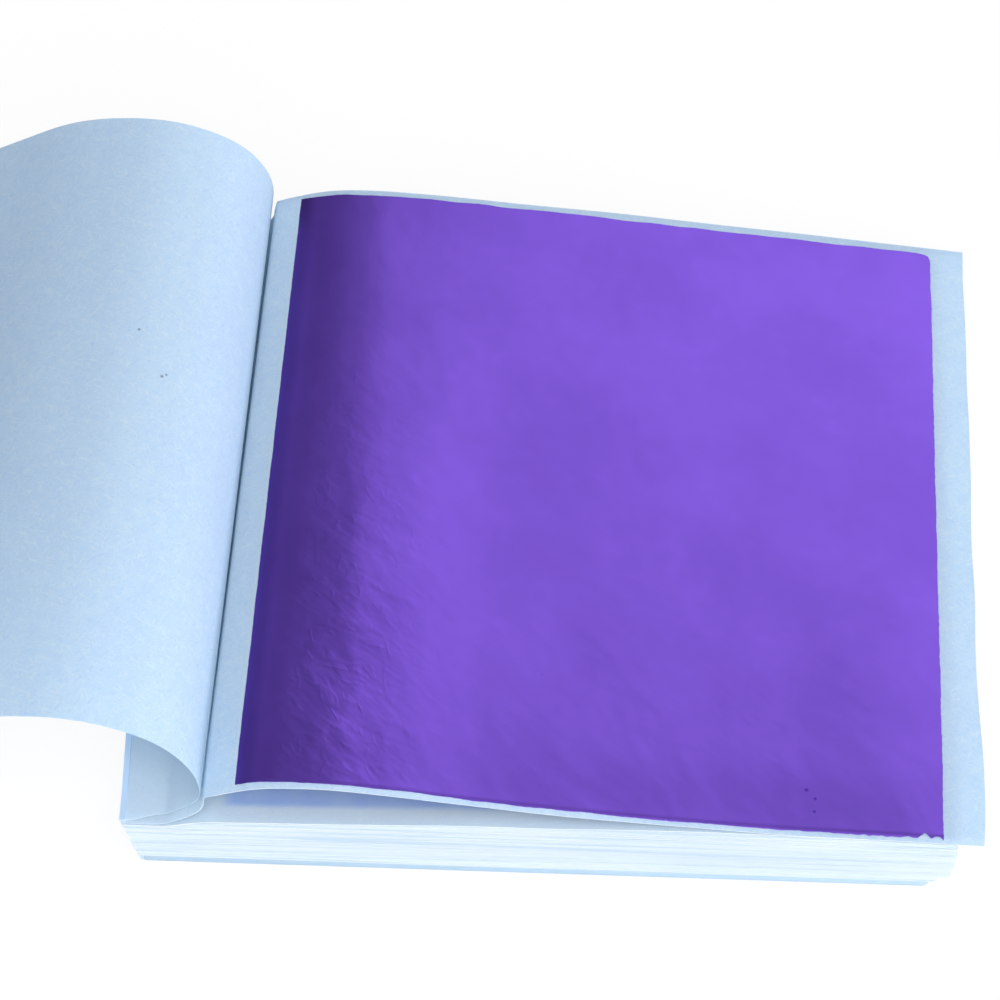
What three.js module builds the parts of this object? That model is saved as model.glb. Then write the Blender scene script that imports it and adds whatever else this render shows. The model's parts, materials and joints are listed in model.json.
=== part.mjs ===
// A booklet of metal leaf: a glued block of tissue sheets with a leaf between each two,
// lying open with its top page curled back over the bound edge and one leaf showing.
// Millimetres, +Z up. X runs from the bound edge to the fore edge, Y from front to back.
// The origin is the middle of the back cover's underside.
import * as THREE from "three";

// Sheets and leaves, as they are cut
const sheetWidth = 95.4;
const sheetDepth = 87;
const leafWidth = 80;
const leafDepth = 85;

// Back cover card
const coverThickness = 1.2;
const coverForeInset = 2.4;

// Glued block: bundles of tissue with a leaf on each
const bundleCount = 20;
const bundlePitch = 0.335;
const bindingMargin = 5;
const bindingShoulder = 2;
const leafSpace = 0.08;
const leafSheet = 0.04;
const hiddenLeafInset = 11;
const hiddenLeafFrontInset = 1;

// The loose part of the block stands higher than the bound part by looseRise at most. Each
// pair is a share of the loose part's width and a share of looseRise
const looseRise = 2.4;
const looseShares = [
  [0, 0],
  [0.05, 0.48],
  [0.23, 0.67],
  [0.37, 0.83],
  [0.56, 1],
  [0.77, 1],
  [0.94, 0.79],
  [1, 0.63],
];

// The stack leans: its lowest sheets are set in at the bound edge and at the fore edge
const spineBaseInset = 1.7;
const foreBaseInset = 1.9;
const foreRaggedInset = 0.35;
const raggedTurn = 2.4;

// Glue along the bound edge
const glueThickness = 0.4;
const bondLine = 0.05;

// Single pages on top of the block
const pageThickness = 0.3;
const seatGap = 0.3;
const marginGap = 0.35;

// The page that bears the leaf. Each pair is a place and a share of humpHeight. Places from
// 0 to 1 are shares of humpRun, and from 1 to 2 they are shares of what is left of the reach
const leafPageReach = 93.15;
const humpRun = 16.7;
const humpHeight = 8.95;
const leafPageFrontShares = [
  [0, 0],
  [0.257, 0.41],
  [0.352, 0.7],
  [0.525, 0.91],
  [0.726, 0.99],
  [1, 1],
  [1.08, 0.95],
  [1.22, 0.75],
  [1.42, 0.51],
  [1.63, 0.33],
  [1.81, 0.26],
  [2, 0.21],
];
const leafPageBackShares = [
  [0, 0],
  [0.313, 0.49],
  [0.38, 0.82],
  [0.548, 0.99],
  [0.821, 1.11],
  [1.02, 1.13],
  [1.09, 1.1],
  [1.235, 1],
  [1.42, 0.8],
  [1.63, 0.575],
  [1.81, 0.385],
  [2, 0.23],
];

// The exposed leaf starts this far along the page from its foot
const leafInset = 12.15;
const leafFrontInset = 0.9;
const leafThickness = 0.1;

// The turned page, folded from a flat sheet along lines that fan a little, so that its curl
// is taller at the back. Its riser follows the foot of the page that bears the leaf, and is
// longer and steeper than that by these shares. The other folds have their places on the
// front and back edge as shares of what is left of the sheet. Angles are in degrees
const turnedPageReach = 97;
const turnedPageShift = 1;
const foldGap = 0.4;
const riserFrontShare = 1.066;
const riserBackShare = 1.096;
const riserSteepShare = 1.06;
const foldFrontShares = [0, 0.021, 0.122, 0.24, 0.35, 0.708];
const foldBackShares = [0, 0.056, 0.149, 0.225, 0.339, 0.703];
const foldAngles = [38, 27.5, 50, 28, 20, -14];

// Materials
const tissue = new THREE.MeshStandardMaterial({ color: 0xcfe3f4, roughness: 0.9, metalness: 0 });
const blockTissue = new THREE.MeshStandardMaterial({ color: 0xdff2fb, roughness: 0.9, metalness: 0 });
const card = new THREE.MeshStandardMaterial({ color: 0xb4dcf4, roughness: 0.8, metalness: 0 });
const glue = new THREE.MeshStandardMaterial({ color: 0xa9c8e6, roughness: 0.6, metalness: 0 });
const foil = new THREE.MeshStandardMaterial({ color: 0x6f4cc0, roughness: 0.35, metalness: 0.7 });

// Heights worked out from the sizes above
const boundHeight = bundleCount * bundlePitch;
const blockTop = coverThickness + boundHeight;
const nextPageTop = blockTop + pageThickness;
const leafMarginTop = nextPageTop + pageThickness;
const spineTop = leafMarginTop + pageThickness;

const booklet = new THREE.Group();
booklet.position.set(-sheetWidth / 2, -sheetDepth / 2, 0);

function addPiece(name, geometry, material, parent = booklet) {
  const mesh = new THREE.Mesh(geometry, material);
  mesh.name = name;
  parent.add(mesh);
  return mesh;
}

// An outline in X and Z, drawn through the depth from yFront to yBack
function throughDepth(outline, yFront, yBack) {
  const shape = new THREE.Shape(outline.map(([x, z]) => new THREE.Vector2(x, z)));
  const geometry = new THREE.ExtrudeGeometry(shape, { depth: yBack - yFront, bevelEnabled: false });
  geometry.rotateX(Math.PI / 2);
  geometry.translate(0, yBack, 0);
  return geometry;
}

// Height of the loose part's rise at x, as a share of looseRise
const looseWidth = sheetWidth - bindingMargin;
function looseShare(x) {
  const at = (x - bindingMargin) / looseWidth;
  if (at <= 0) return 0;
  for (let i = 1; i < looseShares.length; i++) {
    const [x0, z0] = looseShares[i - 1];
    const [x1, z1] = looseShares[i];
    if (at <= x1) return z0 + ((z1 - z0) * (at - x0)) / (x1 - x0);
  }
  return looseShares.at(-1)[1];
}

// Height of the layer boundary that has k bundles under it
function layerHeight(k, x) {
  return coverThickness + (k / bundleCount) * (boundHeight + looseRise * looseShare(x));
}

// The bound edge's sheets lie along this leaning line
function spineLine(z) {
  return glueThickness + spineBaseInset * (1 - z / spineTop);
}

function foreEdge(k) {
  const low = 1 - k / bundleCount;
  const ragged = foreRaggedInset * (1 + Math.sin(raggedTurn * k));
  return sheetWidth - foreBaseInset * low * low - ragged;
}

function stationsBetween(start, end) {
  const inner = looseShares.map(([share]) => bindingMargin + share * looseWidth);
  return [start, ...inner.filter((x) => x > start && x < end), end];
}

// Back cover
const coverStart = spineLine(0) + bondLine;
addPiece(
  "back_cover",
  throughDepth(
    [
      [coverStart, 0],
      [sheetWidth - coverForeInset, 0],
      [sheetWidth - coverForeInset, coverThickness],
      [coverStart, coverThickness],
    ],
    0,
    sheetDepth,
  ),
  card,
);

// Glue strip along the bound edge
addPiece(
  "binding_glue",
  throughDepth(
    [
      [spineLine(0) - glueThickness, 0],
      [spineLine(0), 0],
      [spineLine(spineTop), spineTop],
      [spineLine(spineTop) - glueThickness, spineTop],
    ],
    0,
    sheetDepth,
  ),
  glue,
);

// A layer of the block: full height in the binding, and short of the next by leafSpace beyond it
function bundleOutline(k) {
  const end = foreEdge(k);
  const shoulder = bindingMargin + bindingShoulder;
  const low = stationsBetween(shoulder, end);
  const below = low.map((x) => [x, layerHeight(k, x)]);
  const above = low.map((x) => [x, layerHeight(k + 1, x) - leafSpace]).reverse();
  const zLow = layerHeight(k, 0);
  const zHigh = layerHeight(k + 1, 0);
  return [
    [spineLine(zLow) + bondLine, zLow],
    [bindingMargin, zLow],
    ...below,
    ...above,
    [bindingMargin, zHigh],
    [spineLine(zHigh) + bondLine, zHigh],
  ];
}

// A leaf between two layers, in the middle of its space
function hiddenLeafOutline(k) {
  const stations = stationsBetween(hiddenLeafInset, hiddenLeafInset + leafWidth);
  const rest = (leafSpace - leafSheet) / 2;
  const middle = (x) => layerHeight(k + 1, x) - leafSpace + rest;
  return [
    ...stations.map((x) => [x, middle(x)]),
    ...stations.map((x) => [x, middle(x) + leafSheet]).reverse(),
  ];
}

for (let k = 0; k < bundleCount; k++) {
  const number = String(k + 1).padStart(2, "0");
  addPiece(`tissue_bundle_${number}`, throughDepth(bundleOutline(k), 0, sheetDepth), blockTissue);
  const leaf = throughDepth(
    hiddenLeafOutline(k),
    hiddenLeafFrontInset,
    hiddenLeafFrontInset + leafDepth,
  );
  addPiece(`inner_leaf_${number}`, leaf, foil);
}

// The next page lies on the block, under the page that bears the leaf
const nextStations = stationsBetween(bindingMargin, sheetWidth);
addPiece(
  "next_page",
  throughDepth(
    [
      [spineLine(blockTop) + bondLine, blockTop],
      ...nextStations.map((x) => [x, layerHeight(bundleCount, x)]),
      ...nextStations.map((x) => [x, layerHeight(bundleCount, x) + pageThickness]).reverse(),
      [spineLine(nextPageTop) + bondLine, nextPageTop],
    ],
    0,
    sheetDepth,
  ),
  tissue,
);

// The glued margins of the two top pages
function pageMargin(name, zLow) {
  const zHigh = zLow + pageThickness;
  const outline = [
    [spineLine(zLow) + bondLine, zLow],
    [bindingMargin, zLow],
    [bindingMargin, zHigh],
    [spineLine(zHigh) + bondLine, zHigh],
  ];
  addPiece(name, throughDepth(outline, 0, sheetDepth), tissue);
}
pageMargin("leaf_page_margin", nextPageTop);
pageMargin("turned_page_margin", leafMarginTop);

// A closed sheet between a front and a back row of points, drawn out upwards by its thickness
function sheetBetween(frontRow, backRow, lift, thickness) {
  const rows = [];
  for (const row of [frontRow, backRow]) {
    const low = [];
    const high = [];
    row.forEach((point, i) => {
      const before = row[Math.max(i - 1, 0)];
      const after = row[Math.min(i + 1, row.length - 1)];
      const along = new THREE.Vector3().subVectors(after, before).setY(0).normalize();
      const up = new THREE.Vector3(-along.z, 0, along.x);
      low.push(point.clone().addScaledVector(up, lift));
      high.push(point.clone().addScaledVector(up, lift + thickness));
    });
    rows.push(low, high);
  }
  const positions = rows.flat().flatMap((p) => [p.x, p.y, p.z]);
  const count = frontRow.length;
  const [frontLow, frontHigh, backLow, backHigh] = [0, 1, 2, 3].map((r) => r * count);
  const faces = [];
  const quad = (a, b, c, d) => faces.push(a, b, c, a, c, d);
  for (let i = 0; i < count - 1; i++) {
    const j = i + 1;
    quad(frontHigh + i, frontHigh + j, backHigh + j, backHigh + i);
    quad(frontLow + i, backLow + i, backLow + j, frontLow + j);
    quad(frontLow + i, frontLow + j, frontHigh + j, frontHigh + i);
    quad(backHigh + i, backHigh + j, backLow + j, backLow + i);
  }
  const last = count - 1;
  quad(backLow, frontLow, frontHigh, backHigh);
  quad(frontLow + last, backLow + last, backHigh + last, frontHigh + last);
  const geometry = new THREE.BufferGeometry();
  geometry.setAttribute("position", new THREE.Float32BufferAttribute(positions, 3));
  geometry.setIndex(faces);
  geometry.computeVertexNormals();
  return geometry;
}

// The page that bears the leaf: it leaves the block at the binding, humps, and comes down
// to the fore edge
const leafPageStart = bindingMargin + marginGap;
const leafPageFoot = leafMarginTop + pageThickness / 2;
function leafPageRow(shares, y) {
  return shares.map(([place, height]) => {
    const rise = Math.min(place, 1) * humpRun;
    const fall = Math.max(place - 1, 0) * (leafPageReach - humpRun);
    return new THREE.Vector3(leafPageStart + rise + fall, y, leafPageFoot + height * humpHeight);
  });
}
const leafPageFront = leafPageRow(leafPageFrontShares, 0);
const leafPageBack = leafPageRow(leafPageBackShares, sheetDepth);
addPiece(
  "leaf_page",
  sheetBetween(leafPageFront, leafPageBack, -pageThickness / 2, pageThickness),
  tissue,
);

// The exposed leaf lies along the page, from its inset for its own width. A station counts
// the points of a row, and one past the last point runs straight on
function pointAtStation(row, station) {
  const i = Math.min(Math.floor(station), row.length - 2);
  return new THREE.Vector3().lerpVectors(row[i], row[i + 1], station - i);
}
function stationAlong(row, distance) {
  let left = distance;
  for (let i = 0; i < row.length - 1; i++) {
    const step = row[i].distanceTo(row[i + 1]);
    if (left <= step || i === row.length - 2) return i + left / step;
    left -= step;
  }
}
const leafStart = stationAlong(leafPageFront, leafInset);
const leafEnd = stationAlong(leafPageFront, leafInset + leafWidth);
const leafStations = [leafStart];
for (let s = Math.floor(leafStart) + 1; s < leafEnd; s++) leafStations.push(s);
leafStations.push(leafEnd);
function leafRow(y) {
  return leafStations.map((s) =>
    new THREE.Vector3().lerpVectors(
      pointAtStation(leafPageFront, s),
      pointAtStation(leafPageBack, s),
      y / sheetDepth,
    ),
  );
}
addPiece(
  "exposed_leaf",
  sheetBetween(
    leafRow(leafFrontInset),
    leafRow(leafFrontInset + leafDepth),
    pageThickness / 2 + seatGap,
    leafThickness,
  ),
  foil,
);

// The turned page: a riser from the crease, then strips that each turn about a fold
const creaseHeight = spineTop + seatGap;
const frontFoot = new THREE.Vector3().subVectors(leafPageFront[1], leafPageFront[0]);
const backFoot = new THREE.Vector3().subVectors(leafPageBack[1], leafPageBack[0]);
const riserAngle = riserSteepShare * Math.atan2(frontFoot.z, frontFoot.x);
const curl = new THREE.Group();
curl.position.set(bindingMargin, turnedPageShift, creaseHeight);
curl.rotation.y = -riserAngle;
booklet.add(curl);

function foldPlaces(riser, shares) {
  return shares.map((share) => riser + share * (turnedPageReach - riser));
}
const foldFronts = foldPlaces(riserFrontShare * frontFoot.length(), foldFrontShares);
const foldBacks = foldPlaces(riserBackShare * backFoot.length(), foldBackShares);
const lineFronts = [0, ...foldFronts, turnedPageReach];
const lineBacks = [0, ...foldBacks, turnedPageReach];

// A flat strip of the sheet between two fold lines, half a fold gap short of each
function stripGeometry(i) {
  const inset = foldGap / 2;
  const outer = i === foldFronts.length ? 0 : inset;
  const shape = new THREE.Shape([
    new THREE.Vector2(lineFronts[i] + inset, 0),
    new THREE.Vector2(lineFronts[i + 1] - outer, 0),
    new THREE.Vector2(lineBacks[i + 1] - outer, sheetDepth),
    new THREE.Vector2(lineBacks[i] + inset, sheetDepth),
  ]);
  const geometry = new THREE.ExtrudeGeometry(shape, { depth: pageThickness, bevelEnabled: false });
  geometry.translate(0, 0, -pageThickness / 2);
  return geometry;
}

// Turns what lies beyond a fold line about it, and gives the group that holds it
function foldedGroup(parent, front, back, degrees) {
  const turn = new THREE.Group();
  turn.position.set(front, 0, 0);
  const axis = new THREE.Vector3(front - back, -sheetDepth, 0).normalize();
  turn.quaternion.setFromAxisAngle(axis, THREE.MathUtils.degToRad(degrees));
  const held = new THREE.Group();
  held.position.set(-front, 0, 0);
  turn.add(held);
  parent.add(turn);
  return held;
}

addPiece("turned_page_riser", stripGeometry(0), tissue, curl);
let carrier = curl;
foldAngles.forEach((degrees, i) => {
  carrier = foldedGroup(carrier, foldFronts[i], foldBacks[i], degrees);
  addPiece(`turned_page_strip_${i + 1}`, stripGeometry(i + 1), tissue, carrier);
});

const group = new THREE.Group();
group.add(booklet);
export default group;
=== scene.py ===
"""A booklet of metal leaf: a glued block of tissue sheets with a leaf between each two. It lies
open, with its top page curled back over the bound edge and one purple leaf showing."""

import json
import math
import random
from bisect import bisect_left

import bmesh
import bpy
from mathutils import Matrix, Vector, noise


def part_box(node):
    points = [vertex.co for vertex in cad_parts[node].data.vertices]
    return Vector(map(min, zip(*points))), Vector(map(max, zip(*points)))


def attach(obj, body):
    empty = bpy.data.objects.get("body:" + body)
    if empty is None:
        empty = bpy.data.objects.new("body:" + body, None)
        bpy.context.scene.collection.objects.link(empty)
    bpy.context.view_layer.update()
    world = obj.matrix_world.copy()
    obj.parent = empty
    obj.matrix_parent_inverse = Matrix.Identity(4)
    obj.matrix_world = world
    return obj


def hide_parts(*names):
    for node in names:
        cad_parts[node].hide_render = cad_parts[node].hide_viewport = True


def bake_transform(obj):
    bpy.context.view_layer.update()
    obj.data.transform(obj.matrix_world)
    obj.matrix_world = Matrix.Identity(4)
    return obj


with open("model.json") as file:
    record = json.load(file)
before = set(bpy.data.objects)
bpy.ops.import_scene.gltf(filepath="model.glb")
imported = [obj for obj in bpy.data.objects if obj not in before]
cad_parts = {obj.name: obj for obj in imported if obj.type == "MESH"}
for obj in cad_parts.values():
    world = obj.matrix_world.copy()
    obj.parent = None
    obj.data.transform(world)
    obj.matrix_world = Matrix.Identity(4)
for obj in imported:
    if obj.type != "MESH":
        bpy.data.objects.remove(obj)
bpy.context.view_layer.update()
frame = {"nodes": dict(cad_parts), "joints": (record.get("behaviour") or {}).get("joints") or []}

MM = 0.001

# Sizes of the sheets and leaves, in millimetres. The booklet's own coordinates run from the
# bound edge (x), the front edge (y) and the table (z)
SHEET_WIDTH = 95.4
SHEET_DEPTH = 87.0
LEAF_WIDTH = 80.0
LEAF_DEPTH = 85.0
COVER_THICKNESS = 1.2
BUNDLE_COUNT = 20
SHEETS_IN_BUNDLE = 5
BOUND_HEIGHT = 6.7
BINDING_MARGIN = 5.0
LEAF_SPACE = 0.08
LOOSE_RISE = 2.4
LOOSE_SHARES = [(0, 0), (0.05, 0.48), (0.23, 0.67), (0.37, 0.83), (0.56, 1), (0.77, 1), (0.94, 0.79),
                (1, 0.63)]
SPINE_LEAN = 1.7
SPINE_TOP = 8.8
GLUE_THICKNESS = 0.4
ENDS_IN_GLUE = 0.26
PAGE_THICKNESS = 0.12

# UV maps of the sheets count in decimetres, so one millimetre is 0.01
UV_UNIT = 0.01


def spot(x, y, z):
    """A point of the booklet, in metres in the frame."""
    return Vector((x - SHEET_WIDTH / 2, y - SHEET_DEPTH / 2, z)) * MM


def ease(share):
    share = min(max(share, 0.0), 1.0)
    return share * share * (3 - 2 * share)


def mix(a, b, share):
    return a + (b - a) * share


def steps(start, end, step):
    """Evenly spaced places from start to end, about a step apart."""
    count = max(1, round((end - start) / step))
    return [mix(start, end, i / count) for i in range(count + 1)]


def shares(count):
    return [i / count for i in range(count + 1)]


def read_off(rows, at):
    """The value at a place in rows of (place, value), straight between them."""
    i = min(max(bisect_left(rows, at, key=lambda row: row[0]), 1), len(rows) - 1)
    (low, first), (high, second) = rows[i - 1], rows[i]
    return mix(first, second, min(max((at - low) / (high - low), 0), 1))


def ripple(x, y, size, seed):
    """Smooth random waves from about -1 to 1, with the given size."""
    return noise.noise(Vector((x / size, y / size, seed)))


# Finishes


class Wire:
    """A shader socket that can stand in sums."""

    def __init__(self, finish, socket):
        self.finish = finish
        self.socket = socket

    def maths(self, operation, *values):
        return self.finish.add("Math", {"operation": operation}, dict(enumerate(values)))["Value"]

    def __add__(self, other):
        return self.maths("ADD", self, other)

    def __sub__(self, other):
        return self.maths("SUBTRACT", self, other)

    def __rsub__(self, other):
        return self.maths("SUBTRACT", other, self)

    def __mul__(self, other):
        return self.maths("MULTIPLY", self, other)

    def clipped(self, low, high):
        """0 up to low, 1 from high, and smooth between them."""
        settings = {"interpolation_type": "SMOOTHSTEP"}
        values = {"Value": self, "From Min": low, "From Max": high}
        return self.finish.add("MapRange", settings, values)["Result"]

    def past(self, low, high):
        """The same for a length on a sheet, with low and high in millimetres."""
        return self.clipped(low * UV_UNIT, high * UV_UNIT)

    def below(self, other):
        return self.maths("MINIMUM", self, other)

    def size(self):
        return self.maths("ABSOLUTE", self)


class Finish:
    """A material, and the one method that adds a node to it."""

    def __init__(self, name):
        self.material = bpy.data.materials.new(name)
        self.material.use_nodes = True
        self.tree = self.material.node_tree
        self.tree.nodes.clear()

    def add(self, kind, settings, values):
        node = self.tree.nodes.new("ShaderNode" + kind)
        for name, value in settings.items():
            setattr(node, name, value)
        for name, value in values.items():
            if isinstance(name, int):
                socket = node.inputs[name]
            else:
                socket = next(s for s in node.inputs if s.enabled and s.name == name)
            if isinstance(value, Wire):
                self.tree.links.new(value.socket, socket)
            else:
                socket.default_value = value
        return {s.name: Wire(self, s) for s in node.outputs if s.enabled}

    def tinted(self, share, first, second):
        """A colour between two, by a share."""
        colours = [c if isinstance(c, Wire) else (*c, 1) for c in (first, second)]
        values = {"Factor": share, "A": colours[0], "B": colours[1]}
        return self.add("Mix", {"data_type": "RGBA"}, values)["Result"]

    def noise(self, place, scale, detail, stretch=(1, 1, 1), turn=0.0):
        """Noise with grains 1 / scale across, drawn out by stretch and then turned about Z."""
        values = {"Vector": place, "Scale": stretch, "Rotation": (0, 0, turn)}
        mapped = self.add("Mapping", {"vector_type": "TEXTURE"}, values)["Vector"]
        values = {"Vector": mapped, "Scale": scale, "Detail": detail}
        return self.add("TexNoise", {}, values)["Fac"]

    def sheet_place(self):
        """The place on a sheet, in units of its UV map."""
        return self.add("UVMap", {"uv_map": "sheet"}, {})["UV"]

    def solid_place(self):
        """The place in a piece, in metres."""
        return self.add("TexCoord", {}, {})["Object"]

    def marks(self, place, spots):
        """1 on small round marks, which are given as (x, y, radius) in millimetres."""
        share = 0
        for x, y, radius in spots:
            values = {0: place, 1: (x * UV_UNIT, y * UV_UNIT, 0)}
            away = self.add("VectorMath", {"operation": "DISTANCE"}, values)["Value"]
            share = 1 - away.past(0.3 * radius, radius) + share
        return share.below(1.0)

    def close(self, values, bump, strength, distance, through=0.0):
        """Ends the material in a Principled shader with these values and a bump, which lets a
        share of the light through."""
        numbers = {"Height": bump, "Strength": strength, "Distance": distance}
        values["Normal"] = self.add("Bump", {}, numbers)["Normal"]
        shader = self.add("BsdfPrincipled", {}, values)["BSDF"]
        if through:
            behind = self.add("BsdfTranslucent", {}, {"Color": values["Base Color"]})["BSDF"]
            shader = self.add("MixShader", {}, {0: through, 1: shader, 2: behind})["Shader"]
        self.add("OutputMaterial", {}, {"Surface": shader})
        return self.material


# Share of the light that passes each face of a single sheet of tissue
THROUGH_TISSUE = 0.42

# A page is painted paler up to these places, and the next page all over: painted light that lifts the shade
# under the curl and under the humped page
PAINTED_LIGHT_NEAR_GLUE = (7.0, 9.5)
PAINTED_LIGHT_ALL_OVER = (99.0, 100.0)


def make_tissue(name, seed=0.0, pale=PAINTED_LIGHT_NEAR_GLUE, under_leaf=None, beside_leaf=None, specks=()):
    """Pale blue tissue with short fibres and specks. It is painted paler up to the places in pale, as
    painted light that lifts the shade there.
    under_leaf is the corner of a leaf shining through, and beside_leaf the place of a leaf's edge,
    at the front and at the back."""
    finish = Finish(name)
    place = finish.sheet_place()
    moved = finish.add("VectorMath", {"operation": "ADD"}, {0: place, 1: (seed, seed, 0)})["Vector"]
    clouds = finish.noise(moved, 9, 3.0)
    formation = finish.noise(moved, 55, 3.0)
    grain = finish.noise(moved, 260, 3.0)
    fibres = 0
    for i, turn in enumerate((0.35, 1.15, 1.9, 2.75)):
        strands = finish.noise(moved, 340 + 60 * i, 1.5, (6, 1, 1), turn)
        fibres = strands.clipped(0.60, 0.70) + fibres
    fibres = fibres.below(1.0)
    shade = finish.noise(moved, 300, 1.5, (4, 1, 1), 2.3).clipped(0.58, 0.70)
    colour = finish.tinted(formation.clipped(0.3, 0.7), (0.675, 0.850, 0.985), (0.715, 0.880, 0.995))
    colour = finish.tinted(clouds.clipped(0.35, 0.65) * 0.40, colour, (0.665, 0.835, 0.980))
    colour = finish.tinted(grain.clipped(0.45, 0.75) * 0.40, colour, (0.610, 0.790, 0.955))
    colour = finish.tinted(shade * 0.25, colour, (0.52, 0.70, 0.92))
    colour = finish.tinted(fibres * 0.40, colour, (0.88, 0.97, 1.0))
    parts = finish.add("SeparateXYZ", {}, {"Vector": place})
    # Painted light: the tissue is paler up to the places in pale, lifting the shade under the curl and the
    # hump
    inner = 1 - parts["X"].past(*pale)
    colour = finish.tinted(inner * 0.55, colour, (0.88, 0.965, 1.0))
    dark = finish.noise(moved, 105, 1.0).clipped(0.80, 0.86) * 0.5
    if specks:
        dark = (finish.marks(place, specks) * 0.75 + dark).below(1.0)
    colour = finish.tinted(dark, colour, (0.20, 0.27, 0.42))
    if under_leaf:
        edge_x, edge_y = under_leaf
        along = parts["X"].past(edge_x - 0.4, edge_x + 1.6)
        across = parts["Y"].past(edge_y - 0.5, edge_y + 0.5)
        shine = along * across * (finish.noise(place, 30, 3.0).clipped(0.25, 0.7) * 0.25 + 0.62)
        colour = finish.tinted(shine, colour, (0.450, 0.640, 1.0))
    if beside_leaf:
        front, back = beside_leaf
        drift = (back - front) / SHEET_DEPTH
        off = parts["X"] - parts["Y"] * drift - front * UV_UNIT
        line = (1 - off.size().past(0.10, 0.28)) * parts["Y"].past(0.4, 0.9)
        colour = finish.tinted(line * 0.55, colour, (0.82, 0.95, 1.0))
    bump = formation * 0.35 + grain * 0.35 + fibres * 0.45
    values = {"Base Color": colour, "Roughness": 0.86}
    return finish.close(values, bump, 0.2, 0.0001, through=THROUGH_TISSUE)


def make_sheet_edge():
    """The cut edge of a sheet, whiter than its face: partly the paper's own edge, partly a painted
    highlight where the edge catches the light.
    """
    finish = Finish("cut_edge")
    place = finish.solid_place()
    grain = finish.noise(place, 900, 2.0)
    # Partly painted highlight: the whiter edge stands for the light that the edge catches
    colour = finish.tinted(grain, (0.84, 0.95, 0.99), (0.93, 0.985, 1.0))
    return finish.close({"Base Color": colour, "Roughness": 0.9}, grain, 0.1, 0.00005)


def make_block_tissue(name, light, dark):
    """Sheets seen by their cut edges: fine lines along the block, with a few darker ones."""
    finish = Finish(name)
    place = finish.solid_place()
    lines = finish.noise(place, 26, 3.0, (1, 1, 1 / 75))
    fine = finish.noise(place, 50, 2.0, (1, 1, 1 / 60))
    patches = finish.noise(place, 60, 3.0)
    colour = finish.tinted(lines.clipped(0.34, 0.52), dark, light)
    colour = finish.tinted(fine.clipped(0.6, 0.8) * 0.35, colour, dark)
    colour = finish.tinted(patches.clipped(0.5, 0.8) * 0.25, colour, dark)
    return finish.close({"Base Color": colour, "Roughness": 0.88}, lines * 0.6 + fine * 0.4, 0.2, 0.00006)


def make_card():
    finish = Finish("card")
    place = finish.solid_place()
    grain = finish.noise(place, 500, 4.0)
    clouds = finish.noise(place, 60, 3.0)
    colour = finish.tinted(clouds, (0.43, 0.61, 0.77), (0.49, 0.67, 0.81))
    colour = finish.tinted(grain.clipped(0.5, 0.8) * 0.3, colour, (0.57, 0.73, 0.84))
    return finish.close({"Base Color": colour, "Roughness": 0.75}, grain, 0.3, 0.00008)


def make_glue():
    finish = Finish("glue")
    place = finish.solid_place()
    runs = finish.noise(place, 60, 3.0, (1, 1, 0.25))
    pores = finish.noise(place, 700, 3.0)
    colour = finish.tinted(runs, (0.52, 0.69, 0.89), (0.62, 0.79, 0.95))
    roughness = runs * 0.25 + 0.4
    values = {"Base Color": colour, "Roughness": roughness, "Coat Weight": 0.15}
    return finish.close(values, runs * 0.7 + pores * 0.3, 0.4, 0.0001)


# Nicks near the leaf's front edge, as (x, y, radius)
NICKS = [(64.4, 5.4, 0.34), (65.4, 4.3, 0.28), (65.3, 2.6, 0.26)]


def make_foil(name):
    """Purple metal leaf, crumpled along the page's hump, and a little cloudy elsewhere."""
    finish = Finish(name)
    place = finish.sheet_place()
    parts = finish.add("SeparateXYZ", {}, {"Vector": place})
    clouds = finish.noise(place, 7, 3.0)
    mottle = finish.noise(place, 48, 4.0)
    crumple = finish.noise(place, 44, 2.5, (2.2, 1, 1), -0.7)
    folds = 0
    for turn, scale, stretch in ((-0.80, 36, 3.0), (-0.35, 48, 2.6), (-1.25, 60, 2.2)):
        field = finish.noise(place, scale, 1.0, (stretch, 1, 1), turn)
        patch = finish.noise(place, scale * 0.6, 1.0).clipped(0.48, 0.62)
        folds = (1 - (field - 0.5).size().clipped(0.0, 0.11)) * patch + folds
    hump = (1 - parts["X"].past(6, 26)) * parts["X"].past(1, 6)
    front = 1 - parts["Y"].past(10, 75)
    worked = hump * (front * 0.85 + 0.15) + front * 0.09 + 0.05
    colour = finish.tinted(clouds.clipped(0.3, 0.7), (0.232, 0.108, 0.715), (0.258, 0.122, 0.785))
    colour = finish.tinted(mottle.clipped(0.5, 0.8) * 0.15, colour, (0.290, 0.145, 0.825))
    pits = finish.noise(place, 150, 1.0).clipped(0.80, 0.86) * 0.5
    pits = (finish.marks(place, NICKS) + pits).below(1.0)
    colour = finish.tinted(pits, colour, (0.12, 0.05, 0.48))
    # Painted shade: the leaf is darker along its left edge, beside the curl
    rim = 1 - parts["X"].past(0.4, 2.6)
    colour = finish.tinted(rim * 0.7, colour, (0.10, 0.045, 0.31))
    roughness = mottle * 0.08 + 0.31
    height = (folds * 0.11 + crumple * 0.75) * worked + mottle * 0.06 + clouds * 0.06
    values = {"Base Color": colour, "Roughness": roughness, "Metallic": 1.0}
    return finish.close(values, height, 0.24, 0.0004)


# The exposed leaf lies a little askew: the places of its left edge at the front and the back
LEAF_START_FRONT = 13.08
LEAF_START_BACK = 13.14

# Specks on the turned page, as (place, y, radius)
TURNED_SPECKS = [(27.5, 54.4, 0.24), (23.9, 48.4, 0.30), (23.4, 48.8, 0.22)]

# A pale line on the page runs beside the leaf's left edge
PALE_LINE_OFF = 0.2
PALE_LINE = (LEAF_START_FRONT - PALE_LINE_OFF, LEAF_START_BACK - PALE_LINE_OFF)

# The corner of the leaf that shines through the next page
NEXT_LEAF_CORNER = (11.5, 2.3)

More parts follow.
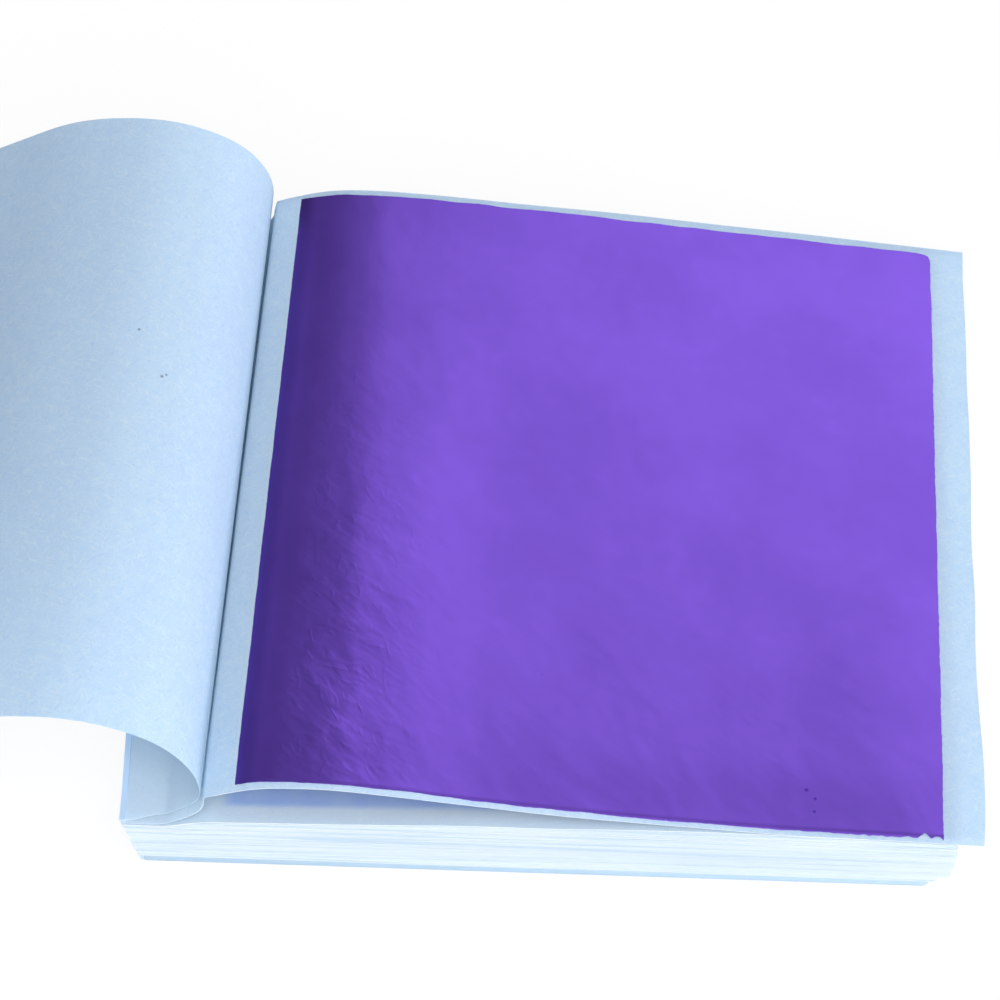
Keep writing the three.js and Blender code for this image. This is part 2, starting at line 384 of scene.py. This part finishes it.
TISSUE = make_tissue("tissue", beside_leaf=PALE_LINE)
TURNED_TISSUE = make_tissue("turned_tissue", 3.7, specks=TURNED_SPECKS)
NEXT_TISSUE = make_tissue("next_tissue", 8.1, PAINTED_LIGHT_ALL_OVER, under_leaf=NEXT_LEAF_CORNER)
CUT_EDGE = make_sheet_edge()
BLOCK_TISSUE = make_block_tissue("block_tissue", (0.765, 0.87, 0.93), (0.62, 0.765, 0.87))
CARD = make_card()
GLUE = make_glue()
FOIL = make_foil("foil")
HIDDEN_FOIL = make_foil("hidden_foil")


# Making pieces


def put_in_scene(name, data):
    made = bpy.data.objects.new(name, data)
    bpy.context.scene.collection.objects.link(made)
    return made


def finish_piece(shape, name, materials):
    """Turns a bmesh into a named, smooth-shaded object with its materials."""
    mesh = bpy.data.meshes.new(name)
    shape.to_mesh(mesh)
    shape.free()
    piece = put_in_scene(name, mesh)
    for material in materials:
        mesh.materials.append(material)
    for face in mesh.polygons:
        face.use_smooth = True
    return piece


def lay_sheet(shape, along, across, surface):
    """Adds a grid with a column at each place along, in millimetres, and a row at each share
    across. surface gives the point for a place and a share. The UV map holds the flat sheet."""
    columns, rows = len(along) - 1, len(across) - 1
    made = bmesh.ops.create_grid(shape, x_segments=columns, y_segments=rows, size=0.5)
    fit = {}
    for vertex in made["verts"]:
        column = round((vertex.co.x + 0.5) * columns)
        row = round((vertex.co.y + 0.5) * rows)
        fit[vertex] = (along[column], across[row])
    layer = shape.loops.layers.uv.get("sheet") or shape.loops.layers.uv.new("sheet")
    for face in {face for vertex in made["verts"] for face in vertex.link_faces}:
        for loop in face.loops:
            place, share = fit[loop.vert]
            loop[layer].uv = Vector((place, share * SHEET_DEPTH)) * UV_UNIT
    for vertex, (place, share) in fit.items():
        vertex.co = surface(place, share)


def thicken(shape, thickness, joined=(), white_from=0.0):
    """Closes the sheets to shells with crisp cut edges, which take the second material from the
    place white_from. joined holds the places at which a sheet runs on in the next piece."""
    shape.normal_update()
    tops = list(shape.faces)
    bmesh.ops.solidify(shape, geom=tops, thickness=thickness * MM)
    rims = {face for top in tops for edge in top.edges for face in edge.link_faces} - set(tops)
    layer = shape.loops.layers.uv["sheet"]
    for rim in rims:
        places = {round(loop[layer].uv.x / UV_UNIT, 3) for loop in rim.loops}
        runs_on = len(places) == 1 and any(abs(places.copy().pop() - at) < 0.01 for at in joined)
        rim.material_index = 0 if runs_on or min(places) < white_from else 1
        for edge in rim.edges:
            if any(face not in rims for face in edge.link_faces) or edge.calc_face_angle(0) > 0.6:
                edge.smooth = False


def bevel_edges(shape, edges, width, segments):
    """Rounds edges off by a width in millimetres."""
    bmesh.ops.bevel(
        shape, geom=edges, offset=width * MM, affect="EDGES", segments=segments, profile=0.5, material=-1
    )


# The block


def loose_height(x):
    share = (x - BINDING_MARGIN) / (SHEET_WIDTH - BINDING_MARGIN)
    return LOOSE_RISE * read_off(LOOSE_SHARES, share)


def layer_height(level, x):
    """Height of a boundary in the block, where level runs from 0 at the cover to the bundle count."""
    return COVER_THICKNESS + level / BUNDLE_COUNT * (BOUND_HEIGHT + loose_height(x))


def spine_line(z):
    return GLUE_THICKNESS + SPINE_LEAN * (1 - z / SPINE_TOP)


LOW_LEVEL = 2.2
LOW_STEP = 1.15
LOW_STEP_SPREAD = 0.4
FORE_SET_BACK = 0.75
FORE_SET_BACK_LEVEL = 9.5


def fore_edge(level):
    """The sheets' far edge: nearly upright, with the lowest sheets set back."""
    low = max(0.0, 1 - level / FORE_SET_BACK_LEVEL)
    step = LOW_STEP * ease((LOW_LEVEL + LOW_STEP_SPREAD - level) / LOW_STEP_SPREAD)
    return SHEET_WIDTH - FORE_SET_BACK * low ** 1.5 - step


SLIPPED_LEVELS = (6.4, 6.8)
SLIP_ALONG = (66.0, 78.0, 90.0)
SLIP = 0.40


def slip(level, x):
    """How far two sheets have slipped in from the front of the block, along part of it."""
    lowest, highest = SLIPPED_LEVELS
    if not lowest < level < highest:
        return 0.0
    low, middle, high = SLIP_ALONG
    return SLIP * ease((x - low) / (middle - low)) * ease((high - x) / (high - middle))


# How far the cut edges of single sheets stray
FORE_STRAY = 0.28
FRONT_STRAY = 0.05
BACK_STRAY = 0.10
FORE_WAVE = 0.20
BLOCK_SHEET_THICKNESS = 0.055


def block_bundle(number):
    """About five sheets of the block, each cut a little off its neighbours."""
    k = number - 1
    rng = random.Random(400 + number)
    shape = bmesh.new()
    for i in range(SHEETS_IN_BUNDLE):
        level = k + (i + 0.5) / SHEETS_IN_BUNDLE
        fore = fore_edge(level) - rng.uniform(0.0, FORE_STRAY)
        front = rng.uniform(-FRONT_STRAY, FRONT_STRAY)
        back = rng.uniform(-BACK_STRAY, BACK_STRAY)

        def surface(x, share, level=level, i=i, fore=fore, front=front, back=back):
            start = spine_line(layer_height(level, 0)) - ENDS_IN_GLUE
            x = mix(start, fore, x / SHEET_WIDTH)
            taken = LEAF_SPACE * ease((x - BINDING_MARGIN) / 2)
            low = layer_height(k, x)
            high = layer_height(k + 1, x) - taken
            z = mix(low, high, (i + 0.9) / SHEETS_IN_BUNDLE)
            near = front + FRONT_STRAY * ripple(x, 10 * level, 18, 1.5) + slip(level, x)
            far = SHEET_DEPTH - back + BACK_STRAY * ripple(x, 10 * level, 18, 7.5)
            y = mix(near, far, share)
            wave = FORE_WAVE * ripple(y, 10 * level, 25, 3.5) * ease((x - SHEET_WIDTH * 0.7) / 20)
            return spot(x + wave, y, z)

        lay_sheet(shape, steps(0, SHEET_WIDTH, 4.0), shares(8), surface)
    thicken(shape, BLOCK_SHEET_THICKNESS)
    piece = finish_piece(shape, f"tissue_sheets_{number:02d}", [BLOCK_TISSUE, BLOCK_TISSUE])
    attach(piece, "block")
    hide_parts(f"tissue_bundle_{number:02d}")


for number in range(1, BUNDLE_COUNT + 1):
    block_bundle(number)
    hidden = frame["nodes"][f"inner_leaf_{number:02d}"]
    hidden.data.materials.clear()
    hidden.data.materials.append(HIDDEN_FOIL)


COVER_CORNER = 1.1
COVER_EASING = 0.18


def cover_card():
    """The back cover: a card with eased edges and worn corners."""
    low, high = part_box("back_cover")
    shape = bmesh.new()
    bmesh.ops.create_cube(shape, size=1.0)
    size = high - low
    for vertex in shape.verts:
        vertex.co = Vector((low[i] + (vertex.co[i] + 0.5) * size[i] for i in range(3)))
    upright = [e for e in shape.edges if all(v.co.x > 0 for v in e.verts)]
    upright = [e for e in upright if abs((e.verts[0].co - e.verts[1].co).normalized().z) > 0.9]
    bevel_edges(shape, upright, COVER_CORNER, 4)
    rims = [e for e in shape.edges if abs(e.calc_face_angle(0)) > 1.0]
    bevel_edges(shape, rims, COVER_EASING, 2)
    piece = finish_piece(shape, "cover_card", [CARD])
    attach(piece, "block")
    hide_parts("back_cover")


cover_card()


GLUE_INSET = 0.15
GLUE_TOP = 9.05
GLUE_STRIP_THICKNESS = 0.70
GLUE_BULGE = 0.35
GLUE_BULGE_REACH = 14

# Swells of the glue, as (height, stretch up the strip, size, seed)
GLUE_SWELLS = [(0.07, 4, 6, 2.5), (0.04, 9, 2, 5.5)]


def glue_strip():
    """Glue brushed over the ends of the sheets, a little uneven."""
    shape = bmesh.new()

    def surface(place, share):
        z = place / SHEET_WIDTH * GLUE_TOP
        y = mix(GLUE_INSET, SHEET_DEPTH - GLUE_INSET, share)
        swell = sum(high * ripple(y, stretch * z, size, seed) for high, stretch, size, seed in GLUE_SWELLS)
        bulge = GLUE_BULGE * ease(y / GLUE_BULGE_REACH) * ease((SHEET_DEPTH - y) / GLUE_BULGE_REACH)
        return spot(spine_line(z) - GLUE_THICKNESS * 0.9 + swell - bulge, y, z)

    lay_sheet(shape, steps(0, SHEET_WIDTH, 8), shares(60), surface)
    thicken(shape, GLUE_STRIP_THICKNESS)
    piece = finish_piece(shape, "glue_strip", [GLUE, GLUE])
    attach(piece, "block")
    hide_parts("binding_glue")


glue_strip()


# The next page lies on the block
NEXT_PAGE_LIFT = 0.2
NEXT_PAGE_END_HEIGHT = 8.0
NEXT_PAGE_WAVE = 0.10
NEXT_PAGE_STRAY = 0.12


def next_page():
    shape = bmesh.new()
    start = spine_line(NEXT_PAGE_END_HEIGHT) - ENDS_IN_GLUE

    def surface(x, share):
        y = share * SHEET_DEPTH
        z = layer_height(BUNDLE_COUNT, x) + NEXT_PAGE_LIFT
        z += NEXT_PAGE_WAVE * ripple(x, y, 14, 4.5) * ease((x - 8) / 10)
        return spot(x, y + NEXT_PAGE_STRAY * ripple(x, 0, 15, 6.5), z)

    lay_sheet(shape, steps(start, SHEET_WIDTH, 1.2), shares(60), surface)
    thicken(shape, PAGE_THICKNESS)
    piece = finish_piece(shape, "next_tissue", [NEXT_TISSUE, CUT_EDGE])
    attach(piece, "block")
    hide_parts("next_page")


next_page()


# The page that bears the leaf: points of its front and back edge, as (x, z), in step with each
# other. It is turned a little about its crease, so its far edge stands out to the front
PAGE_FRONT = [(5.3, 8.65), (8.3, 10.75), (9.2, 11.8), (9.65, 12.9), (9.78, 14.2), (10.0, 14.85),
              (10.8, 15.3), (13.0, 16.28), (15.3, 17.1), (18.0, 17.58), (20.2, 17.66), (23.5, 17.6),
              (30.5, 16.8), (41.4, 15), (56.2, 13), (76.1, 11.25), (91.0, 10.65), (98.1, 10.2)]
PAGE_BACK = [(5.3, 8.65), (8.3, 10.75), (10.2, 12.5), (10.9, 13.8), (11.15, 15.5), (11.35, 16.2),
             (12.1, 16.6), (14.0, 17.33), (16.0, 17.98), (18.6, 18.56), (20.4, 18.74), (23.3, 18.8),
             (30.3, 18.4), (41.3, 17.3), (56.2, 15.6), (76.0, 13.05), (91.0, 11.2), (98.4, 10.15)]
PAGE_MARGIN_HEIGHT = 8.4
PAGE_MARGIN = 5.0
PAGE_MARGIN_BEND = 1.5
BELOW_CREASE = 0.01
PAGE_TURN = math.radians(0.1)
PROFILE_STEPS = 40
LOOK_AHEAD = 0.2

# Its front and back edges droop, and a swell lies under the leaf near the hump
FRONT_DROOP = 0.20
BACK_DROOP = 0.12
DROOP_REACH = 0.9
FRONT_SAG = 0.15
FRONT_SAG_REACH = 9
PAGE_WAVE = 0.10
SWELL_HEIGHT = 0.30
SWELL_PLACE = (28, 26)
SWELL_REACH = (8, 22)


def smooth_profile(points):
    """A smooth curve through (x, z) points, as rows of (length along it, x and z)."""
    points = [Vector(p) for p in points]
    gaps = [(b - a).length for a, b in zip(points, points[1:])]
    slopes = []
    for i in range(len(points)):
        if i == 0:
            slopes.append((points[1] - points[0]) / gaps[0])
        elif i == len(points) - 1:
            slopes.append((points[-1] - points[-2]) / gaps[-1])
        else:
            before = (points[i] - points[i - 1]) / gaps[i - 1]
            after = (points[i + 1] - points[i]) / gaps[i]
            slopes.append(before.lerp(after, gaps[i - 1] / (gaps[i - 1] + gaps[i])))
    rows = []
    length = 0.0
    last = points[0]
    for i, gap in enumerate(gaps):
        for step in range(PROFILE_STEPS + 1):
            u = step / PROFILE_STEPS
            a = (1 + 2 * u) * (1 - u) ** 2
            b = u * (1 - u) ** 2 * gap
            c = u * u * (3 - 2 * u)
            d = u * u * (u - 1) * gap
            point = points[i] * a + slopes[i] * b + points[i + 1] * c + slopes[i + 1] * d
            length += (point - last).length
            last = point
            if step or not i:
                rows.append((length, point))
    return rows


def page_profiles():
    """The front and the back profile, with places along their mean."""
    pairs = list(zip(smooth_profile(PAGE_FRONT), smooth_profile(PAGE_BACK)))
    places = [(front[0] + back[0]) / 2 for front, back in pairs]
    return ([(place, pair[side][1]) for place, pair in zip(places, pairs)] for side in (0, 1))


page_front, page_back = page_profiles()


def leaf_page_point(place, share, lift=0.0):
    """A point on the leaf page, place millimetres past its crease. Before it the page lies flat."""
    y = share * SHEET_DEPTH
    if place < 0:
        rise = PAGE_FRONT[0][1] - PAGE_MARGIN_HEIGHT - BELOW_CREASE
        height = PAGE_MARGIN_HEIGHT + rise * ease((place + PAGE_MARGIN_BEND) / PAGE_MARGIN_BEND) + lift
        return spot(PAGE_FRONT[0][0] + place, y, height)
    middle, ahead = (
        read_off(page_front, at).lerp(read_off(page_back, at), share) for at in (place, place + LOOK_AHEAD)
    )
    along = ahead - middle
    up = Vector((-along.y, along.x)).normalized() if along.length else Vector((0, 1))
    droop = FRONT_DROOP * ease(1 - y / DROOP_REACH) + FRONT_SAG * ease(1 - y / FRONT_SAG_REACH)
    droop += BACK_DROOP * ease(1 - (SHEET_DEPTH - y) / DROOP_REACH)
    waves = PAGE_WAVE * ripple(place, y, 30, 9.5) * ease(place / 20)
    waves += SWELL_HEIGHT * math.exp(
        -(((place - SWELL_PLACE[0]) / SWELL_REACH[0]) ** 2) - ((y - SWELL_PLACE[1]) / SWELL_REACH[1]) ** 2
    )
    point = middle + up * (lift + waves - droop * ease(place / 12))
    return spot(point.x + PAGE_TURN * y, y - PAGE_TURN * place, point.y)


# The page's edges stray a little, and the far one bows out near its front corner
SIDE_EDGE_STRAY = 0.10
FAR_EDGE_STRAY = 0.28
FAR_EDGE_BAND = 3
FAR_EDGE_BOW = 0.45
FAR_EDGE_BOW_PLACE = 9
FAR_EDGE_BOW_REACH = 8
WHITE_EDGE_FROM = 10.5


def leaf_page():
    shape = bmesh.new()
    reach = page_front[-1][0]
    along = steps(-PAGE_MARGIN, -PAGE_MARGIN_BEND, 0.8) + steps(-1.2, 22, 0.3) + steps(22.8, reach, 0.8)
    inner = [mix(0.013, 0.987, share) for share in shares(70)]
    across = [0, 0.003, 0.006, 0.009, *inner, 0.991, 0.994, 0.997, 1]

    def surface(place, share):
        point = leaf_page_point(place, share)
        point.y += SIDE_EDGE_STRAY * ripple(place, share * 9, 12, 2.2) * MM
        y = share * SHEET_DEPTH
        bow = FAR_EDGE_BOW * math.exp(-(((y - FAR_EDGE_BOW_PLACE) / FAR_EDGE_BOW_REACH) ** 2))
        stray = FAR_EDGE_STRAY * ripple(y, 0, 9, 3.3) + bow
        point.x += stray * ease((place - reach + FAR_EDGE_BAND) / FAR_EDGE_BAND) * MM
        return point

    lay_sheet(shape, along, across, surface)
    thicken(shape, PAGE_THICKNESS, white_from=WHITE_EDGE_FROM)
    piece = finish_piece(shape, "leaf_tissue", [TISSUE, CUT_EDGE])
    spot(4.7, 0, 8.5)
    spot(5.9, 0, 8.5)
    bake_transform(piece)
    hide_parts("leaf_page", "leaf_page_margin")


leaf_page()


LEAF_INSET_LEFT = 0.67
LEAF_INSET_RIGHT = 0.42
LEAF_LIFT = 0.10
LEAF_THICKNESS = 0.03
LEAF_CORNER = 1.0

# The leaf's edges stray within a band along them, each as given by (seed, fine, coarse)
EDGE_BAND = 1.2
LEAF_LEFT_STRAY = (1.5, 0.03, 0.05)
LEAF_RIGHT_STRAY = (7.5, 0.06, 0.06)
LEAF_BACK_STRAY = (9.5, 0.03, 0.14)
LEAF_FRONT_STRAY = (3.5, 0.05, 0.10)

# Its front edge is more ragged to the right, and torn in one place, which is given as its middle
# along the edge and half its width
RAGGED = 0.10
RAGGED_FROM = 55
RAGGED_REACH = 20
TEAR = (77.9, 0.8)
TEAR_DEPTH = 0.75
TEAR_BAND = 1.6
SHORT_CORNER = 0.35
SHORT_CORNER_SPREAD = 0.5

# How far the right and the back edge stand out from the true rectangle
RIGHT_EDGE_FRONT = 0.08
RIGHT_EDGE_BACK = 0.50
BACK_EDGE = 0.3
BACK_EDGE_LEFT = 0.2
BACK_EDGE_LEFT_REACH = 60


def wander(place, seed, fine, coarse):
    """How far a torn or cut edge strays at a place along it."""
    small = noise.noise(Vector((place * 2.3, seed, 0)))
    large = noise.noise(Vector((place * 0.30, seed, 4)))
    return fine * small + coarse * large


def leaf_edge_shift(x, y):
    """The stray of the leaf's edges at a point of the true rectangle, as (x, y)."""
    left = ease(1 - x / EDGE_BAND) * wander(y, *LEAF_LEFT_STRAY)
    right = mix(RIGHT_EDGE_FRONT, RIGHT_EDGE_BACK, y / LEAF_DEPTH) + wander(y, *LEAF_RIGHT_STRAY)
    right *= ease(1 - (LEAF_WIDTH - x) / EDGE_BAND)
    back = BACK_EDGE + BACK_EDGE_LEFT * ease(1 - x / BACK_EDGE_LEFT_REACH) + wander(x, *LEAF_BACK_STRAY)
    back *= ease(1 - (LEAF_DEPTH - y) / EDGE_BAND)
    seed, fine, coarse = LEAF_FRONT_STRAY
    fine += RAGGED * ease((x - RAGGED_FROM) / RAGGED_REACH)
    front = ease(1 - y / EDGE_BAND) * wander(x, seed, fine, coarse)
    place, reach = TEAR
    front += TEAR_DEPTH * ease(1 - y / TEAR_BAND) * max(0.0, 1 - abs(x - place) / reach)
    past_tear = ease((x - place - reach) / SHORT_CORNER_SPREAD)
    past_tear *= ease((LEAF_WIDTH - x) / SHORT_CORNER_SPREAD)
    front += SHORT_CORNER * ease(1 - y / EDGE_BAND) * past_tear
    to_corner = Vector((x - LEAF_WIDTH + LEAF_CORNER, y - LEAF_DEPTH + LEAF_CORNER))
    if min(to_corner) > 0:
        pull = to_corner * (LEAF_CORNER / max(to_corner.length, LEAF_CORNER) - 1)
        right += pull.x
        back += pull.y
    return left + right, front + back


# The leaf's crumples, as (size, height, seed), and the shares of those heights that they have all
# over, on the page's hump, at the hump's front and along the whole front
CRUMPLES = [(13, 0.085, 1.0), (5, 0.045, 2.0), (2.4, 0.022, 3.0)]
CRUMPLED_ALL_OVER = 0.12
CRUMPLED_HUMP = 0.15
CRUMPLED_HUMP_FRONT = 0.6
CRUMPLED_FRONT = 0.15
HUMP_FRONT_REACH = 65
CRUMPLED_FRONT_REACH = 25

# The hump on the leaf: where it is full, where it begins to fall and where it ends
HUMP_ON_LEAF = (4, 9, 25)


def leaf_wrinkle(x, y):
    """Height of the leaf's crumples, which gather along the page's hump and to the front."""
    full, falling, end = HUMP_ON_LEAF
    hump = ease(x / full) * ease(1 - (x - falling) / (end - falling))
    hump *= CRUMPLED_HUMP + CRUMPLED_HUMP_FRONT * ease(1 - y / HUMP_FRONT_REACH)
    worked = CRUMPLED_ALL_OVER + hump + CRUMPLED_FRONT * ease(1 - y / CRUMPLED_FRONT_REACH)
    height = 0.0
    for size, weight, seed in CRUMPLES:
        ridge = 1 - abs(2 * noise.noise(Vector(((x + 0.5 * y) / size, (y - 0.5 * x) / (size * 2.0), seed))))
        height += weight * ridge * ridge
    return height * worked


def exposed_leaf():
    shape = bmesh.new()
    along = steps(0, 2, 0.25) + steps(2.5, 77, 0.5) + steps(77.2, LEAF_WIDTH, 0.2)
    rows = steps(0, 2, 0.25) + steps(2.5, 82.5, 0.5) + steps(82.8, LEAF_DEPTH, 0.2)
    across = [y / LEAF_DEPTH for y in rows]

    def surface(place, share):
        shift_x, shift_y = leaf_edge_shift(place, share * LEAF_DEPTH)
        x = place + shift_x
        y = share * LEAF_DEPTH + shift_y + mix(LEAF_INSET_LEFT, LEAF_INSET_RIGHT, place / LEAF_WIDTH)
        start = mix(LEAF_START_FRONT, LEAF_START_BACK, share)
        return leaf_page_point(start + x, y / SHEET_DEPTH, LEAF_LIFT + leaf_wrinkle(x, y))

    lay_sheet(shape, along, across, surface)
    thicken(shape, LEAF_THICKNESS)
    piece = finish_piece(shape, "metal_leaf", [FOIL, FOIL])
    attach(piece, "exposed_leaf")
    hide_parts("exposed_leaf")


exposed_leaf()


# The turned page. Each bend is its place on the front edge and on the back edge, in
# millimetres from the crease, and its angle. The bends fan, so the curl is taller at the back
TURNED_BENDS = [(0, 0, 36.6), (6.7, 8.5, 52.3), (7.5, 10.8, 25.3), (17.2, 19.0, 41.9), (27.5, 28.9, 28.1),
                (37.2, 39.0, 27.3), (70.5, 70.5, -24)]
TURNED_MARGIN = 4.8
TURNED_REACH = 97.0
TURNED_SHIFT = 1.0
TURNED_CREASE = (5.0, 9.0)
CREASE_SPREAD = 0.7
BEND_SPREAD = 0.62
BEND_REACH = (2.2, 14.0)


def turned_slope(place):
    """The turned page's slope in degrees at a place on its front edge."""
    slope = TURNED_BENDS[0][2] * ease((place + CREASE_SPREAD) / (2 * CREASE_SPREAD))
    for i in range(1, len(TURNED_BENDS)):
        middle, _, angle = TURNED_BENDS[i]
        after = TURNED_BENDS[i + 1][0] if i + 1 < len(TURNED_BENDS) else TURNED_REACH
        low, high = (
            min(max(gap, BEND_REACH[0]), BEND_REACH[1]) * BEND_SPREAD
            for gap in (middle - TURNED_BENDS[i - 1][0], after - middle)
        )
        slope += angle * ease((place - middle + low) / (low + high))
    return slope


def turned_frames(places):
    """For each place, the line across the flat sheet and the matrix that carries it to the curl."""
    pairs = [(front, back) for front, back, _ in TURNED_BENDS] + [(TURNED_REACH, TURNED_REACH)]
    x, z = TURNED_CREASE
    carry = Matrix.Translation((x, 0, z))
    slope = 0.0
    lines = {}
    for place in places:
        back = read_off(pairs, place) if place > 0 else place
        turn = turned_slope(place) - slope
        slope += turn
        pivot = Matrix.Translation((place, 0, 0))
        axis = Vector((place - back, -SHEET_DEPTH, 0))
        carry = carry @ pivot @ Matrix.Rotation(math.radians(turn), 4, axis) @ pivot.inverted()
        lines[place] = (back, carry.copy())
    return lines


# The stretches meet in the middle of the strips between the folds
TURNED_CUTS = [6.8, 11.7, 22.2, 33.2, 54.3, TURNED_REACH]
TURNED_ROWS = 60
CLEAR_OF_CUTS = 0.25


def places_on_turned_page():
    """Places along the turned page, close together in the curl and at the cuts."""
    places = steps(-TURNED_MARGIN, -1.1, 0.7) + steps(-0.9, 45, 0.3) + steps(46, TURNED_REACH, 1.0)
    places = [p for p in places if all(abs(p - cut) > CLEAR_OF_CUTS for cut in TURNED_CUTS)]
    places += [cut + side for cut in TURNED_CUTS[:-1] for side in (-0.1, 0, 0.1)]
    return sorted([*places, TURNED_REACH])


turned_places = places_on_turned_page()
turned_lines = turned_frames(turned_places)

TURNED_WAVE = 0.12
TURNED_WHITE_FROM = 40


def turned_point(place, share):
    back, carry = turned_lines[place]
    waves = TURNED_WAVE * ripple(place, share * SHEET_DEPTH, 26, 12.5) * ease(place / 25)
    flat = Vector((mix(place, back, share), share * SHEET_DEPTH, waves))
    point = carry @ flat
    return spot(point.x, point.y + TURNED_SHIFT * ease(place / TURNED_MARGIN + 1), point.z)


def turned_piece(number, start, end):
    """One stretch of the turned page, from one line of places to another."""
    shape = bmesh.new()
    along = [p for p in turned_places if start <= p <= end]
    lay_sheet(shape, along, shares(TURNED_ROWS), turned_point)
    thicken(shape, PAGE_THICKNESS, joined=TURNED_CUTS[:-1], white_from=TURNED_WHITE_FROM)
    return finish_piece(shape, f"turned_tissue_{number}", [TURNED_TISSUE, CUT_EDGE])


def bend_at_joint(piece, joint_name, start, end):
    """Works out the way from a stretch's start to its end across the joint's axis, and bakes the stretch's
    transform.
    """
    joint = next(j for j in frame["joints"] if j["name"] == joint_name)
    axis = Vector(joint["axis"])
    first = [turned_point(start, share) for share in shares(TURNED_ROWS)]
    last = [turned_point(end, share) for share in shares(TURNED_ROWS)]
    middle = TURNED_ROWS // 2
    way = last[middle] - first[middle]
    way -= axis * way.dot(axis)
    way.normalize()
    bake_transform(piece)


def turned_page():
    foot = turned_piece(1, turned_places[0], TURNED_CUTS[0])
    spot(4.5, 0, 9)
    spot(5.7, 0, 9)
    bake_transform(foot)
    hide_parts("turned_page_margin", "turned_page_riser", "turned_page_strip_1")
    joints = ["page_turn"] + [f"page_fold_{i}" for i in range(3, 7)]
    for i, joint in enumerate(joints):
        start, end = TURNED_CUTS[i], TURNED_CUTS[i + 1]
        piece = turned_piece(i + 2, start, end)
        bend_at_joint(piece, joint, start, end)
        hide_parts(f"turned_page_strip_{i + 2}")


turned_page()


# Camera, at the photograph's place
CAMERA_AZIMUTH = 3.25
CAMERA_ELEVATION = 54.10
CAMERA_ROLL = -0.94
CAMERA_PLACE = (8.01, -247.40, 356.01)
CAMERA_LENS = 127.1
CAMERA_SHIFT = -0.002


def make_camera():
    data = bpy.data.cameras.new("camera")
    data.sensor_fit = "HORIZONTAL"
    data.sensor_width = 36
    data.lens = CAMERA_LENS
    data.shift_y = CAMERA_SHIFT
    data.clip_start = 0.01
    camera = put_in_scene("camera", data)
    bpy.context.scene.camera = camera
    azimuth = math.radians(CAMERA_AZIMUTH)
    elevation = math.radians(CAMERA_ELEVATION)
    out = math.cos(elevation)
    back = Vector((math.sin(azimuth) * out, -math.cos(azimuth) * out, math.sin(elevation)))
    right = Vector((math.cos(azimuth), math.sin(azimuth), 0))
    upward = back.cross(right)
    turned = Matrix((right, upward, back)).transposed().to_4x4()
    roll = Matrix.Rotation(math.radians(CAMERA_ROLL), 4, "Z")
    camera.matrix_world = Matrix.Translation(Vector(CAMERA_PLACE) * MM) @ turned @ roll


make_camera()


# Floor, lamps and world
FLOOR_SIZE = 6.0
WHITE = (1, 1, 1)

# The floor is lit paint, on which a seen ray sees mostly a white glow, so the shadow stays faint
FLOOR_GLOW_SHARE = 0.86
FLOOR_GLOW = 1.03


def make_floor():
    shape = bmesh.new()
    bmesh.ops.create_grid(shape, x_segments=1, y_segments=1, size=FLOOR_SIZE / 2)
    mesh = bpy.data.meshes.new("floor")
    shape.to_mesh(mesh)
    shape.free()
    floor = put_in_scene("floor", mesh)
    finish = Finish("floor")
    rays = finish.add("LightPath", {}, {})
    seen = (rays["Is Camera Ray"] + rays["Is Glossy Ray"]).below(1.0) * FLOOR_GLOW_SHARE
    paint = finish.add("BsdfDiffuse", {}, {"Color": (0.92, 0.92, 0.93, 1)})["BSDF"]
    glow = finish.add("Emission", {}, {"Color": (*WHITE, 1), "Strength": FLOOR_GLOW})["Emission"]
    both = finish.add("MixShader", {}, {0: seen, 1: paint, 2: glow})["Shader"]
    finish.add("OutputMaterial", {}, {"Surface": both})
    mesh.materials.append(finish.material)


def make_lamp(name, place, size, power, colour=WHITE):
    """A flat lamp that faces the booklet, with its size in metres and its power in watts."""
    data = bpy.data.lights.new(name, "AREA")
    data.shape = "RECTANGLE"
    data.size, data.size_y = size
    data.energy = power
    data.color = colour
    lamp = put_in_scene(name, data)
    lamp.location = place
    lamp.rotation_euler = (-Vector(place)).to_track_quat("-Z", "Y").to_euler()


AMBIENT_COLOUR = (0.86, 0.90, 1.0)
AMBIENT_STRENGTH = 0.25


def make_world():
    """A plain pale light from all round, which a camera ray sees as white."""
    world = bpy.data.worlds.new("world")
    bpy.context.scene.world = world
    world.use_nodes = True
    nodes = world.node_tree.nodes
    nodes.clear()
    rays = nodes.new("ShaderNodeLightPath")
    light = nodes.new("ShaderNodeBackground")
    light.inputs["Color"].default_value = (*AMBIENT_COLOUR, 1)
    light.inputs["Strength"].default_value = AMBIENT_STRENGTH
    seen = nodes.new("ShaderNodeBackground")
    seen.inputs["Color"].default_value = (*WHITE, 1)
    seen.inputs["Strength"].default_value = 1.0
    both = nodes.new("ShaderNodeMixShader")
    out = nodes.new("ShaderNodeOutputWorld")
    link = world.node_tree.links.new
    link(rays.outputs["Is Camera Ray"], both.inputs[0])
    link(light.outputs[0], both.inputs[1])
    link(seen.outputs[0], both.inputs[2])
    link(both.outputs[0], out.inputs["Surface"])


make_floor()
make_lamp("back_panel", (0.60, 0.81, 0.96), (1.18, 1.0), 3.6)
make_lamp("window", (1.0, -0.30, 0.14), (0.9, 0.24), 6.0, (0.98, 0.96, 0.97))
make_lamp("front_panel", (0.12, -0.64, 0.82), (1.1, 0.9), 10.9, (0.985, 0.945, 0.95))
make_world()
bpy.context.scene.view_settings.view_transform = "Standard"
